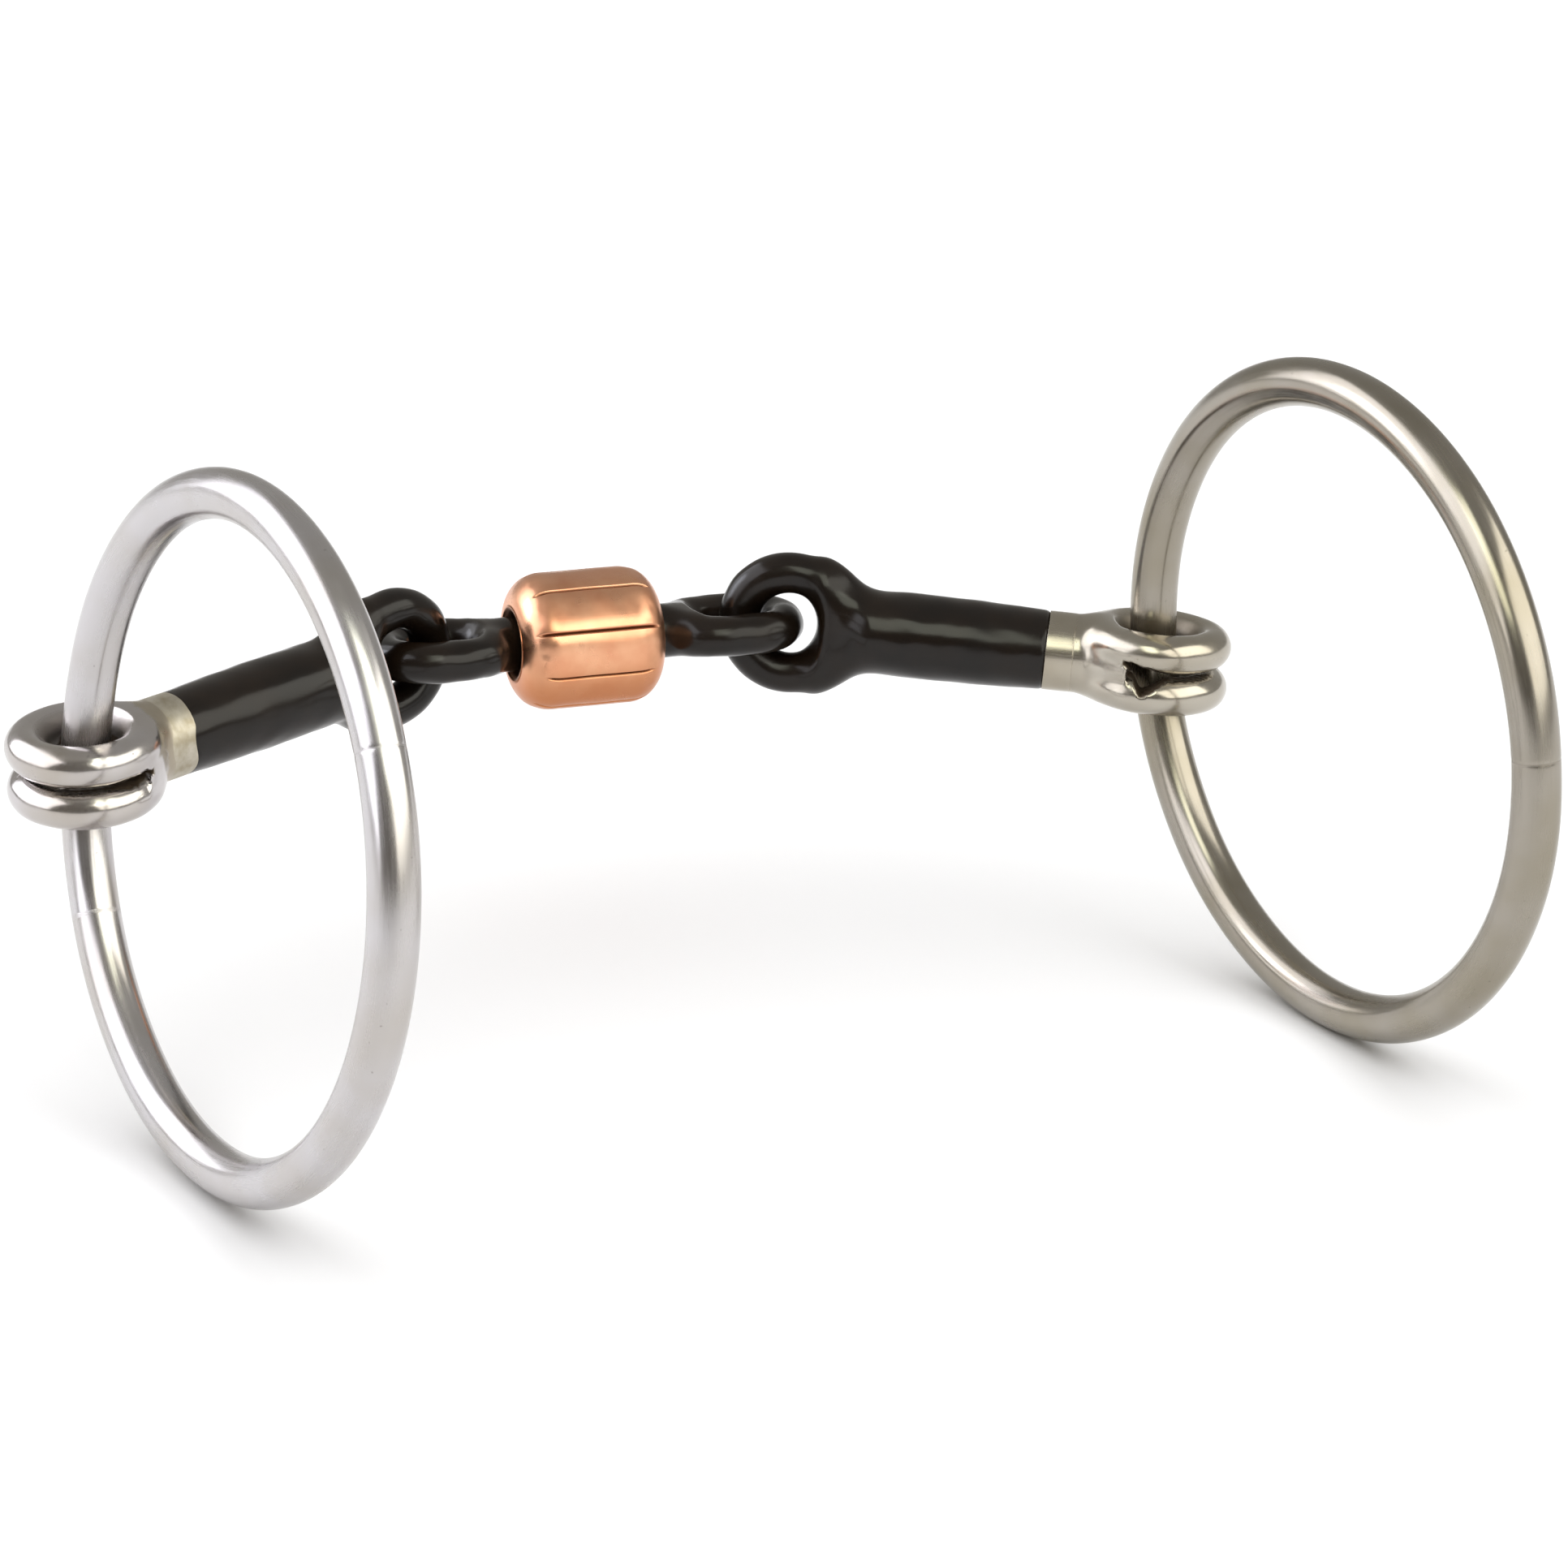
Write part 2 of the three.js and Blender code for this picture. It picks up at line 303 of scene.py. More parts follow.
# Painted shade: the right fitting's steel is darker than the left's.
fitting_steel = {
    "left": polished_stainless("buffed_stainless_bright", "#C0BCBC", "#B2ABA3", (0.14, 0.24)),
    "right": polished_stainless("buffed_stainless_shaded", "#B1ABA0", "#A39B8C", (0.14, 0.24)),
}
print("made", [steel.name for steel in (*wire_steel.values(), *fitting_steel.values())])

# %% [markdown]
# Ground weld metal
#
# A bead of filler joins the stainless fitting to the iron. The left one is ground flush with a
# file or a flap wheel but not polished, so it looks paler, warmer and duller than the steel beside
# it. The right one was buffed along with its fitting, so it takes the steel's recipe.

# %% Ground weld metal
def ground_weld(name, pale, dark, rough_range):
    material, tree, own = new_material(name)[:3]
    cloud = between(tree, patches(tree, own, 1.6, 4), 0.35, 0.7, 0, 1)
    colour = blend_colours(tree, cloud, pale, dark)
    marks = patches(tree, own, 0.3, 3, stretch=(1, 4, 4))
    rough = between(tree, marks, 0.3, 0.7, *rough_range)
    bump = add(tree, "ShaderNodeBump", {"Height": marks, "Strength": 0.3, "Distance": 0.03 * MM})
    sockets = {
        "Base Color": colour,
        "Metallic": 1.0,
        "Roughness": rough,
        "Normal": bump.outputs[0],
    }
    finish_with(tree, add(tree, "ShaderNodeBsdfPrincipled", sockets))
    return material


# The right weld takes the right fitting's darker colours, which are painted shade.
weld_metal = {
    "left": ground_weld("ground_weld_metal", "#BFB9AC", "#A29985", (0.42, 0.55)),
    "right": polished_stainless("buffed_weld_metal_shaded", "#B4AEA2", "#A69E8F", (0.16, 0.26)),
}
print("made", [metal.name for metal in weld_metal.values()])

# %% [markdown]
# Blued sweet iron
#
# The cannons and the link are plain iron, forged, then heated and oiled until a thin skin of
# black oxide covers them. The skin is glossy like varnish, nearly black with a brown cast, and
# shows the small waves that the hammer and the grinder left.

# %% Blued sweet iron
def blued_iron(name):
    material, tree, own = new_material(name)[:3]
    cast = between(tree, patches(tree, own, 5, 3), 0.35, 0.7, 0, 1)
    colour = blend_colours(tree, cast, "#120D09", "#1B130C")
    smears = patches(tree, own, 2.8, 4, stretch=(3, 1, 1))
    rough = between(tree, smears, 0.3, 0.7, 0.15, 0.27)
    waves = patches(tree, own, 1.6, 2, stretch=(2, 1, 1))
    bump = add(tree, "ShaderNodeBump", {"Height": waves, "Strength": 0.4, "Distance": 0.05 * MM})
    sockets = {
        "Base Color": colour,
        "Metallic": 0.0,
        "Roughness": rough,
        "IOR": 1.37,
        "Normal": bump.outputs[0],
    }
    finish_with(tree, add(tree, "ShaderNodeBsdfPrincipled", sockets))
    return material


black_iron = blued_iron("blued_sweet_iron")
print("made", black_iron.name)

# %% [markdown]
# Turned and buffed copper
#
# The roller is solid copper, pressed in a grooved die and buffed bright. Copper reddens where it
# is handled. Its grooves and the wall of its bore are painted dark brown as painted shade, and its
# underside is painted darker and redder than its top as painted shade: for this piece the ground
# fact says how much.

# %% Buffed copper
UNDERSIDE_SHADE_COLOUR = "#B8703F"
GROOVE_SHADE = "#54301A"


def buffed_copper(name):
    material, tree, own, soot_and_shade, ground_and_shade = new_material(name)
    tint = between(tree, patches(tree, own, 4, 3), 0.35, 0.7, 0, 1)
    colour = blend_colours(tree, tint, "#E8B08C", "#DB9B78")
    # Painted shade: the underside is painted darker and redder than the top.
    underside_shade = between(tree, ground_and_shade, 0, 1, 0, 0.8)
    colour = blend_colours(tree, underside_shade, colour, UNDERSIDE_SHADE_COLOUR)
    # Painted shade: the grooves and the wall of the bore are painted dark brown.
    soot_and_shade_amount = between(tree, soot_and_shade, 0.1, 0.9, 0, 1)
    colour = blend_colours(tree, soot_and_shade_amount, colour, GROOVE_SHADE)
    lines = patches(tree, own, 0.25, 3, stretch=(14, 1, 1))
    smears = patches(tree, own, 3, 3)
    rough = between(tree, smears, 0.35, 0.7, 0.26, 0.36)
    dulled = add(tree, "ShaderNodeMath", {0: soot_and_shade_amount, 1: 0.4}, operation="MULTIPLY")
    rough = add(tree, "ShaderNodeMath", {0: rough, 1: dulled.outputs[0]}, operation="ADD")
    bump = add(tree, "ShaderNodeBump", {"Height": lines, "Strength": 0.12, "Distance": 0.03 * MM})
    sockets = {
        "Base Color": colour,
        "Metallic": 1.0,
        "Roughness": rough.outputs[0],
        "Normal": bump.outputs[0],
    }
    finish_with(tree, add(tree, "ShaderNodeBsdfPrincipled", sockets))
    return material


copper = buffed_copper("buffed_copper")
print("made", copper.name)

# %% [markdown]
# The rings
#
# A ring is a length of round wire bent into a circle and welded shut, so a torus describes it:
# one angle round the ring, another round the wire. A perfect torus looks like plastic, because
# its highlights are perfectly even. The real wire is a shade thicker and thinner along its
# length and was ground flush at the weld, where a hairline still shows. Both go into the formula.

# %% A ring as a grid of two angles
SEAM_WIDTH = 0.45
SEAM_DEPTH = 0.03
GROUND_LENGTH = 5.0
GROUND_DEPTH = 0.06
WIRE_WAVE = 0.02
WELDED_AT = {"left": 27.0, "right": -2.0}


def hump(distance, width):
    """A smooth hump, 1 at distance 0, falling as exp(-(distance/width)^2)."""
    return np.exp(-((distance / width) ** 2))


def ring_surface(radius, wire, phase, welded_at):
    """Torus whose wire radius is wire + waves - the hollow ground at the weld - its hairline.

    The angle round the ring starts opposite the loops. Points crowd at the weld.
    """
    coarse = np.linspace(-np.pi, np.pi, 420, endpoint=False)
    fine = np.linspace(-1.5, 1.5, 41) / radius
    turn = np.unique(np.concatenate([coarse[np.abs(coarse) > 1.6 / radius], fine]))
    round_wire = np.linspace(0, 2 * np.pi, 56, endpoint=False)
    u, v = np.meshgrid(turn, round_wire, indexing="ij")
    along = u * radius
    u = u + np.radians(welded_at)
    waves = np.sin(5 * u + phase) * np.cos(v) + 0.7 * np.sin(11 * u - 2 * phase) * np.sin(v + phase)
    hollow = GROUND_DEPTH * hump(along, GROUND_LENGTH)
    hairline = SEAM_DEPTH * hump(along, SEAM_WIDTH / 2)
    thick = wire + WIRE_WAVE * waves - hollow - hairline
    x = radius + (radius + thick * np.cos(v)) * np.cos(u)
    y = (radius + thick * np.cos(v)) * np.sin(u)
    points = np.stack([x, y, thick * np.sin(v)], axis=-1).reshape(-1, 3)
    own = np.stack([along, thick * np.cos(v), thick * np.sin(v)], axis=-1).reshape(-1, 3)
    soot_and_shade = 0.28 * hump(along, SEAM_WIDTH / 3).reshape(-1)
    return points, wrapped_grid(*u.shape), own, soot_and_shade


# %% Both rings, swung where the joints and the CAD solids put them
for number, side in enumerate(SIDES):
    name = f"{side}_ring"
    held_at = joint_at[f"{side}_ring_swing"]
    middle = (solid_points(name).min(axis=0) + solid_points(name).max(axis=0)) / 2
    axes = own_axes(name, middle - held_at)
    low, high = own_span(name, held_at, axes)
    wire = (high[2] - low[2]) / 2
    radius = (high[0] - low[0]) / 2 - wire
    points, faces, own, soot_and_shade = ring_surface(radius, wire, 1 + 2.3 * number, WELDED_AT[side])
    placed = held_at + points @ axes
    body = f"{side}_ring_body"
    finish = wire_steel[side]
    make_piece(f"{name}_wire", placed, faces, own, body, name, finish, soot_and_shade)

# %% [markdown]
# Skinning a distance
#
# A cannon is a bar that flows into an eye, and a forged joint has no edges: the metal swells from
# one shape into the other. Meshes are bad at this, but distances are good at it. Write down how
# far any point in space is from each simple shape, melt the two numbers together, and the place
# where the result is zero is the forged surface.
#
# To get a mesh, fill space with a fine grid, see which grid points are inside, and put one vertex
# in every cell that the surface passes through. Then let the vertices spread evenly and slide
# them on to the surface, a few times over.

# %% From a distance to a mesh
def melt(a, b, reach):
    """Smooth union of two distances: their minimum, filled in where they differ by under reach."""
    share = np.clip(0.5 + 0.5 * (b - a) / reach, 0, 1)
    return b + (a - b) * share - reach * share * (1 - share)


def carve(a, b, reach):
    """Distance a with shape b cut out of it, the edge softened over reach."""
    return -melt(-a, b, reach)


def slide_on(points, distance, rounds=3, nudge=0.01):
    """Newton's steps down the distance's slope: p - distance * slope / |slope|^2."""
    for _ in range(rounds):
        value = distance(points)
        steps = nudge * np.eye(3)
        slope = [distance(points + s) - distance(points - s) for s in steps]
        slope = np.stack(slope, axis=-1) / (2 * nudge)
        points = points - slope * (value / np.maximum((slope**2).sum(axis=-1), 0.05))[:, None]
    return points


def spread_out(points, quads, distance, rounds=6):
    """Moves each point half way to the middle of its neighbours, then back on to the surface."""
    ends = np.concatenate([quads[:, [a, b]] for a, b in ((0, 1), (1, 2), (2, 3), (3, 0))])
    start, end = ends[:, 0], ends[:, 1]
    start, end = np.concatenate([start, end]), np.concatenate([end, start])
    count = np.bincount(start, minlength=len(points))[:, None]
    for _ in range(rounds):
        sums = [np.bincount(start, points[end, k], len(points)) for k in range(3)]
        points = (points + np.stack(sums, axis=-1) / count) / 2
        points = slide_on(points, distance)
    return points


def skin(distance, low, high, step):
    """Points and outward quads of the surface distance(p) = 0 inside the box low..high."""
    ticks = [np.arange(a, b + step, step) for a, b in zip(low, high)]
    inside = distance(np.stack(np.meshgrid(*ticks, indexing="ij"), axis=-1)) < 0
    size = np.array(inside.shape) - 1
    corners = [
        inside[i : i + size[0], j : j + size[1], k : k + size[2]] for i, j, k in np.ndindex(2, 2, 2)
    ]
    count = np.sum(corners, axis=0)
    crossed = (count > 0) & (count < len(corners))
    number = np.full(crossed.shape, -1)
    number[crossed] = np.arange(crossed.sum())
    points = np.array(low) + (np.argwhere(crossed) + 0.5) * step
    quads = []
    for axis in range(3):
        change = np.diff(inside.astype(int), axis=axis)
        for sign in (-1, 1):
            edge = np.argwhere(change == sign)
            ring = []
            for b, c in ((-1, -1), (0, -1), (0, 0), (-1, 0)):
                cell = edge.copy()
                cell[:, (axis + 1) % 3] += b
                cell[:, (axis + 2) % 3] += c
                ring.append(number[tuple(cell.T)])
            quads.append(np.column_stack(ring)[:, ::-sign])
    quads = np.concatenate(quads)
    points = slide_on(points, distance)
    return spread_out(points, quads, distance), quads


# %% [markdown]
# The simple shapes that get melted
#
# Three are enough: a loop of round wire, a bar whose section changes along its length, and a
# little unevenness that stands for hammer and grinder.

# %% Distances to a loop and a bar
def loop_distance(x, y, z, middle, radius, wire, stretch=0.0):
    """Loop in the XY plane round (middle, 0, 0), its long sides straight for stretch."""
    beyond = x - middle
    beyond = beyond - np.clip(beyond, -stretch / 2, stretch / 2)
    return np.hypot(np.hypot(beyond, y) - radius, z) - wire


def bar_distance(x, y, z, start, end, tall, wide, soft=0.3):
    """Bar along X with elliptical sections tall(t) by wide(t), t going from 0 at start to 1.

    The rims of its two ends are rounded over soft.
    """
    t = np.clip((x - start) / (end - start), 0, 1)
    tall, wide = tall(t), wide(t)
    across = (np.hypot(y / tall, z / wide) - 1) * np.minimum(tall, wide)
    return carve(across, -np.maximum(start - x, x - end), soft)


def ease(t):
    """Goes from 0 to 1 with no slope at either end: 3t^2 - 2t^3."""
    t = np.clip(t, 0, 1)
    return t * t * (3 - 2 * t)


def uneven(x, y, z, size, height):
    """Gentle lumps: a sum of three sine products, about size apart and height high."""
    a, b, c = x * 2 * np.pi / size, y * 2 * np.pi / size, z * 2 * np.pi / size
    lumps = np.sin(a + 1.3 * b) * np.cos(0.8 * c + 1) + np.sin(0.6 * a - c + 2) * np.sin(0.9 * b)
    return height * (lumps + 0.6 * np.sin(1.7 * a + 0.5) * np.cos(1.4 * b - 1.1 * c)) / 2


# %% [markdown]
# The cannons
#
# Seen from the side a cannon is a bar as thick as a finger's tip, drawn down to an upright eye.
# The sizes come from the CAD solid: its lowest X is the eye's wire, its highest Y the eye's
# outside, its highest Z the bar at its fullest.

# %% A cannon as melted distances
EYE_FILLET = 3.7
NECK_AFTER_EYE = 1.1
NECK_SWELL = 4.9
NECK_TALLER = 0.16
NECK_WIDTH = 1.02
NECK_SOFT = 0.9
CANNON_LUMPS = 0.05
CANNON_LUMP_SIZE = 7
LUMPS_FADE = 3


def cannon_distance(wire, eye, neck, full, end, length):
    """A loop melted into a bar that fills out from the eye and tapers a little to its end."""
    neck_start = 2 * eye - wire + NECK_AFTER_EYE

    def distance(p):
        x, y, z = p[..., 0], p[..., 1], p[..., 2]
        ring = loop_distance(x, y, z, eye, eye, wire)
        reach = length - neck_start

        def fill(t):
            return ease(t * reach / NECK_SWELL)

        def thick(t):
            return neck + (end - neck) * t + (full - (neck + end) / 2) * np.sin(np.pi * t)

        def tall(t):
            return thick(t) * (1 + NECK_TALLER - NECK_TALLER * fill(t))

        def wide(t):
            return wire * NECK_WIDTH + (thick(t) - wire * NECK_WIDTH) * fill(t)

        bar = bar_distance(x, y, z, neck_start, length, tall, wide, NECK_SOFT)
        lumps = uneven(x, y, z, CANNON_LUMP_SIZE, CANNON_LUMPS) * ease((length - x) / LUMPS_FADE)
        return melt(ring, bar, EYE_FILLET) + lumps

    return distance


# %% [markdown]
# The end fittings
#
# A stainless rod was split, and its two halves were bent round the ring, one above the other.
# So the stem widens into two stacked loops with a narrow slot between them, and on the stem's
# side a web of metal still joins them. On each flank, where the halves part, there is a rough pit
# that no wheel reaches: wide open on the right, and nearly filled on the left. The pit, the
# crotch behind it and the inside of the loops are darkened with painted shade. The pit's roof
# is nearly straight and its floor drops off and comes back up, so it is carved with two curves.

# %% An end fitting as melted distances
LOOP_GAP = 0.35
STEM_FILLET = 1.5
PIT_ROOT = 3.5
PIT_INSIDE = 3.3
PIT_TOP = {"left": 0.5, "right": 1.35}
PIT_DROP = {"left": 0.95, "right": 3.5}
PIT_LENGTH = 5.8
PIT_ROOT_HEIGHT = 0.1
PIT_FALL = 2.3
PIT_CLIMB_FROM = 1.8
PIT_ROUGHNESS = 0.14
PIT_LUMP_SIZE = 1.3
PIT_EDGE = 0.4
SLOT_EDGE = 0.12
STEM_OVERLAP = 0.35
FLARE_HEIGHT = 0.93
FLARE_WIDTH = 0.86
FLARE_POWER = 3
WEB_WIRE = 0.95
WEB_FILLET = 0.8
WEB_END = 0.3
FITTING_LUMPS = 0.03
FITTING_LUMP_SIZE = 6
PIT_SHADE_DEPTH = 0.2
SHADE_INSIDE_LOOPS = 0.55


def pit_distance(x, y, z, bore, top, drop):
    """The pit, from its root in the stem to where its roof and floor meet the slot."""
    s = x - bore + PIT_ROOT
    roof = LOOP_GAP / 2 + top * (1 - ease(s / PIT_LENGTH))
    rise = drop - top + PIT_ROOT_HEIGHT - LOOP_GAP / 2
    climb = rise * ease((s - PIT_CLIMB_FROM) / (PIT_LENGTH - PIT_CLIMB_FROM))
    floor = top - PIT_ROOT_HEIGHT - drop * ease(s / PIT_FALL) + climb
    sides = np.maximum(-s, PIT_INSIDE - np.abs(z))
    hollow = np.maximum(np.maximum(y - roof, floor - y), sides)
    return hollow + uneven(x, y, z, PIT_LUMP_SIZE, PIT_ROUGHNESS)


def loop_painted_shade(x, y, z, bore, loop, wire, rise, pit):
    """How much painted shade a point gets: fully in the pit and the crotch behind it, half inside the
    loops.

    The numbers are where each patch of painted shade ends and over how many millimetres it fades.
    """
    out = np.hypot(x - bore, z)
    crotch = ease((loop + 0.75 * wire - out) / 0.9) * ease((rise + 0.2 - np.abs(y)) / 0.7)
    crotch = crotch * ease((bore + 1.5 - x) / 2)
    inside = SHADE_INSIDE_LOOPS * ease((loop - 0.1 * wire - out) / (0.8 * wire))
    return np.maximum(hump(np.maximum(pit, 0), PIT_SHADE_DEPTH), np.maximum(crotch, inside))


def fitting_distance(bore, loop, wire, rise, start, stem, top, drop):
    """Two loops, the web between them and a flared stem melted together, slot and pits cut out."""
    stem_end = bore - loop + wire * STEM_OVERLAP

    def distance(p):
        x, y, z = p[..., 0], p[..., 1], p[..., 2]
        loops = np.minimum(
            loop_distance(x, z, y - rise, bore, loop, wire),
            loop_distance(x, z, y + rise, bore, loop, wire),
        )

        def tall(t):
            return stem + (rise + wire * FLARE_HEIGHT - stem) * ease(t) ** FLARE_POWER

        def wide(t):
            return stem + (loop * FLARE_WIDTH - stem) * ease(t) ** FLARE_POWER

        bar = bar_distance(x, y, z, start, stem_end, tall, wide)
        lumps = uneven(x, y, z, FITTING_LUMP_SIZE, FITTING_LUMPS) * ease((x - start) / 2)
        web = loop_distance(x, z, y, bore, loop, wire * WEB_WIRE)
        web = np.maximum(web, x - bore + PIT_ROOT - WEB_END)
        whole = melt(melt(loops, web, WEB_FILLET), bar, STEM_FILLET) + lumps
        slot = np.maximum(np.abs(y) - LOOP_GAP / 2, bore - PIT_ROOT + 1 - x)
        pit = pit_distance(x, y, z, bore, top, drop)
        return carve(carve(whole, slot, SLOT_EDGE), pit, PIT_EDGE)

    return distance


# %% [markdown]
# The weld bead
#
# The bead is a band whose two edges wander, because molten metal does. It is a grid of two
# parameters again: one across the band, one round it, closed on itself like a very flat ring.
# The iron and the steel both run on under it.

# %% A weld bead as a grid
BEAD_PROUD = 0.03
BEAD_SUNK = 0.35
BEAD_POINTS = (180, 40)
BEAD_WAVES = 5
BEAD_SEED = 7
BEAD_WANDER = {"left": 0.8, "right": 0.1}
BEAD_OVER_IRON = {"left": 0.0, "right": 0.35}
BEAD_OVER_STEEL = {"left": 1.7, "right": 0.5}
IRON_REACH = {"left": 1.3, "right": 0.2}
GROUND_REACH = {"left": 5.0, "right": 0.4}


def bead_surface(low, high, radius, wander, seed):
    """Band from x=low to x=high round the bar; its edges wander by sums of sines."""
    draw = np.random.default_rng(seed)
    angle = np.linspace(0, 2 * np.pi, BEAD_POINTS[0], endpoint=False)
    across = np.linspace(0, 2 * np.pi, BEAD_POINTS[1], endpoint=False)
    a, s = np.meshgrid(angle, across, indexing="ij")
    edge = []
    for _ in range(2):
        phases = draw.uniform(0, 2 * np.pi, BEAD_WAVES)
        waves = [np.sin(k * a + phases[k - 1]) / k**0.7 for k in range(1, BEAD_WAVES + 1)]
        edge.append(wander * np.sum(waves, axis=0) / 2)
    middle = (low + high + edge[0] + edge[1]) / 2
    half = (high - low + edge[1] - edge[0]) / 2
    x = middle + half * np.cos(s)
    lift = np.sign(np.sin(s)) * np.abs(np.sin(s)) ** 0.6
    r = radius + np.where(lift > 0, BEAD_PROUD * lift, BEAD_SUNK * lift)
    points = np.stack([x, r * np.cos(a), r * np.sin(a)], axis=-1).reshape(-1, 3)
    return points, wrapped_grid(*a.shape)[:, ::-1], points


# %% Both cannons with their beads and end fittings
MARGIN = 1.2
IRON_STEP = 0.25
FITTING_STEP = 0.22
NECK = 4.65
UNDER_BEAD = 0.2
END_SWELL = {"left": 1.06, "right": 1.035}
for number, side in enumerate(SIDES):
    body = f"{side}_cannon_body"
    turns_at, ring_at = joint_at[f"{side}_cannon_fold"], joint_at[f"{side}_ring_swing"]
    axes = own_axes(f"{side}_cannon", ring_at - turns_at)
    bore = np.linalg.norm(ring_at - turns_at)

    low, high = own_span(f"{side}_cannon", turns_at, axes)
    eye_wire = -low[0]
    eye = high[1] - eye_wire
    weld_low, weld_high = own_span(f"{side}_weld", turns_at, axes)
    end = weld_high[2] * END_SWELL[side]
    shape = cannon_distance(eye_wire, eye, NECK, high[2], end, high[0] + IRON_REACH[side])
    points, faces = skin(shape, low - MARGIN, high + MARGIN, IRON_STEP)
    placed = turns_at + points @ axes
    node = f"{side}_cannon"
    make_piece(f"{node}_bar", placed, faces, points, body, node, black_iron)

    fit_low, fit_high = own_span(f"{side}_end_fitting", turns_at, axes)
    stack = fit_high[1]
    loop_wire = (2 * stack - LOOP_GAP) / 4
    rise = stack - loop_wire
    loop = fit_high[2] - loop_wire
    pit = PIT_TOP[side], PIT_DROP[side]
    shape = fitting_distance(bore, loop, loop_wire, rise, fit_low[0] - UNDER_BEAD, end, *pit)
    points, faces = skin(shape, fit_low - MARGIN, fit_high + MARGIN, FITTING_STEP)
    placed = turns_at + points @ axes
    # Painted shade in the pit, the crotch and inside the loops.
    soot_and_shade = loop_painted_shade(*points.T, bore, loop, loop_wire, rise, pit_distance(*points.T, bore, *pit))
    ground_and_shade = 1 - ease((points[:, 0] - fit_low[0]) / GROUND_REACH[side])
    node, finish = f"{side}_end_fitting", fitting_steel[side]
    name, slot = f"{side}_fitting_loops", "stainless_steel"
    make_piece(name, placed, faces, points, body, node, finish, soot_and_shade, ground_and_shade)

    bead_low, bead_high = weld_low[0] - BEAD_OVER_IRON[side], weld_high[0] + BEAD_OVER_STEEL[side]
    wander, seed = BEAD_WANDER[side], BEAD_SEED + number
    points, faces, own = bead_surface(bead_low, bead_high, end, wander, seed)
    placed = turns_at + points @ axes
    node, finish = f"{side}_weld", weld_metal[side]
    make_piece(f"{node}_bead", placed, faces, own, body, node, finish)

# %% [markdown]
# The centre link
#
# The link is a short dog-bone: a round shank that the roller turns on, with a long flat eye at
# each end. The same melting makes it.

# %% The link as melted distances
LINK_WIRE = 2.35
LINK_STRETCH = 2.3
LINK_FILLET = 2.0
LINK_LUMPS = 0.06
LINK_LUMP_SIZE = 6
SHANK_OVERLAP = 0.3
SHANK_ROOT = 0.9


def link_distance(shank, eye_middle, eye, wire, stretch):
    """A shank melted into two stretched loops.

    It gets taller over the last tenth at each end, and as wide as the wire over the last eighth.
    """
    shank_end = eye_middle - stretch / 2 - eye + wire * SHANK_OVERLAP

    def distance(p):
        x, y, z = p[..., 0], p[..., 1], p[..., 2]
        loops = loop_distance(np.abs(x), y, z, eye_middle, eye, wire, stretch)

        def tall(t):
            return shank + SHANK_ROOT * ease(np.abs(2 * t - 1) * 5 - 4)

        def wide(t):
            return shank + (wire - shank) * ease(np.abs(2 * t - 1) * 4 - 3)

        bar = bar_distance(x, y, z, -shank_end, shank_end, tall, wide)
        return melt(loops, bar, LINK_FILLET) + uneven(x, y, z, LINK_LUMP_SIZE, LINK_LUMPS)

    return distance


# %% Build the link
link_axes = own_axes("center_link", joint_axis["roller_spin"])
link_at = joint_at["roller_spin"]
low, high = own_span("center_link", link_at, link_axes)
shank = high[2]
link_eye = high[1] - LINK_WIRE
eye_middle = high[0] - LINK_WIRE - link_eye - LINK_STRETCH / 2
shape = link_distance(shank, eye_middle, link_eye, LINK_WIRE, LINK_STRETCH)
points, faces = skin(shape, low - MARGIN, high + MARGIN, IRON_STEP)
placed = link_at + points @ link_axes
make_piece("center_link_bone", placed, faces, points, "link", "center_link", black_iron)

# %% [markdown]
# The copper roller
#
# The roller is a thick tube with broad, round shoulders. Turn its outline about the shank and
# press the grooves in: each is a narrow valley along the length, with a soft dent beside it from
# the die. The points crowd at the grooves, so that a groove a third of a millimetre wide stays sharp.

# %% The roller as an outline carried round the shank
GROOVES = 9
GROOVE_WIDTH = 0.3
GROOVE_DEPTH = 0.35
DENT_WIDTH = 1.5
DENT_DEPTH = 0.1
FACET_DEPTH = 0.12
SHOULDER = 3.9
MOUTH_ROUNDING = 0.8
SHOULDER_STEPS = 26
MOUTH_STEPS = 8
BORE_STEPS = 14
LENGTH_STEPS = 40


def roller_outline(bore, outer, half):
    """Closed outline of the wall, radius against length, its corners rounded; 4 arcs in order."""

    def corner(x, r, size, first, last, steps):
        a = np.radians(np.linspace(first, last, steps))
        return np.column_stack([x + size * np.cos(a), r + size * np.sin(a)])

    def straight(first, last, r, steps):
        x = np.linspace(first, last, steps)[1:-1]
        return np.column_stack([x, np.full(steps - 2, r)])

    shoulder, mouth = SHOULDER, MOUTH_ROUNDING
    pieces = [
        corner(half - shoulder, outer - shoulder, shoulder, 90, 0, SHOULDER_STEPS),
        corner(half - mouth, bore + mouth, mouth, 0, -90, MOUTH_STEPS),
        straight(half - mouth, mouth - half, bore, BORE_STEPS),
        corner(mouth - half, bore + mouth, mouth, 270, 180, MOUTH_STEPS),
        corner(shoulder - half, outer - shoulder, shoulder, 180, 90, SHOULDER_STEPS),
        straight(shoulder - half, half - shoulder, outer, LENGTH_STEPS),
    ]
    return np.concatenate(pieces)


